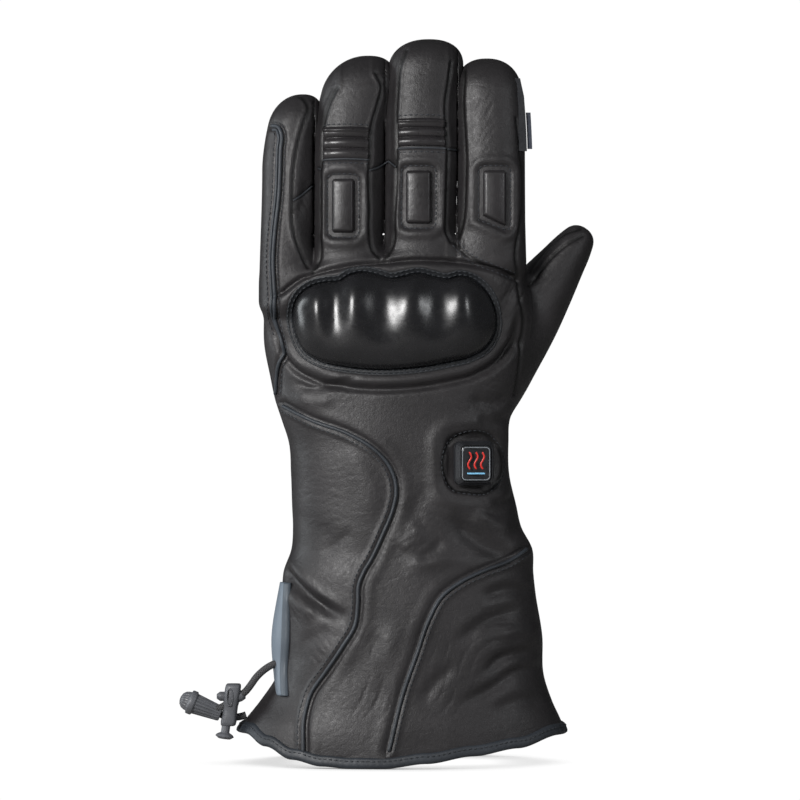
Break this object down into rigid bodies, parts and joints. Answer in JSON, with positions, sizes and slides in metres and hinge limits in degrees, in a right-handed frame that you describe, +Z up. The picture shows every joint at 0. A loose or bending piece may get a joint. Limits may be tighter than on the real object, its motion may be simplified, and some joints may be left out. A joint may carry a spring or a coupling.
{
  "type": "heated gauntlet glove",
  "caption": "Left-hand heated gauntlet glove in black leather, standing on its flared cuff, with a hard knuckle guard, a heat control button and a drawcord with a cord lock.",
  "frame": {"origin": "on the table under the middle of the glove's box, measured without the drawcord and what is on it", "axes": "+Z up from the hem to the fingertips, +X to the thumb, +Y from the back of the hand to the palm"},
  "size_m": [0.1957, 0.079, 0.3379],
  "materials": {
    "leather": "satin grain",
    "hard_shell": "polished",
    "edge_leather": "stitched edge",
    "binding": "folded tape",
    "black_plastic": "satin",
    "button_cap": "printed cap",
    "tab_rubber": "matt",
    "cord": "braided",
    "grey_plastic": "moulded",
    "black_rubber": "matt",
    "pale_rubber": "smooth"
  },
  "bodies": {
    "glove": {"cuff_shell": "leather", "hand_shell": "leather", "thumb_stall": "leather", "little_stall": "leather", "ring_stall": "leather", "middle_stall": "leather", "index_stall": "leather", "ring_pad": "leather", "middle_pad": "leather", "index_pad": "leather", "ring_ribs": "leather", "middle_ribs": "leather", "knuckle_guard": "hard_shell", "guard_rim": "edge_leather", "hem_binding": "binding", "cuff_piping_left": "binding", "cuff_piping_right": "binding", "side_piping": "binding", "heat_button_housing": "black_plastic", "side_tab": "tab_rubber", "drawcord_upper": "cord", "drawcord_lower": "cord", "cord_lock_body": "grey_plastic", "cord_end_bell": "grey_plastic", "wiper_strip": "black_rubber", "wiper_blade": "pale_rubber"},
    "heat_button": {"heat_button_face": "button_cap"},
    "lock_plunger": {"cord_lock_plunger": "grey_plastic"}
  },
  "joints": [
    {"name": "heat_button_press", "type": "slide", "parent": "glove", "child": "heat_button", "axis": [-0.342, 0.9397, 0], "range_m": [0, 0.0008], "stiffness_N_per_m": 2500},
    {"name": "plunger_press", "type": "slide", "parent": "glove", "child": "lock_plunger", "axis": [0.1392, 0, 0.9903], "range_m": [0, 0.0025], "stiffness_N_per_m": 400}
  ]
}
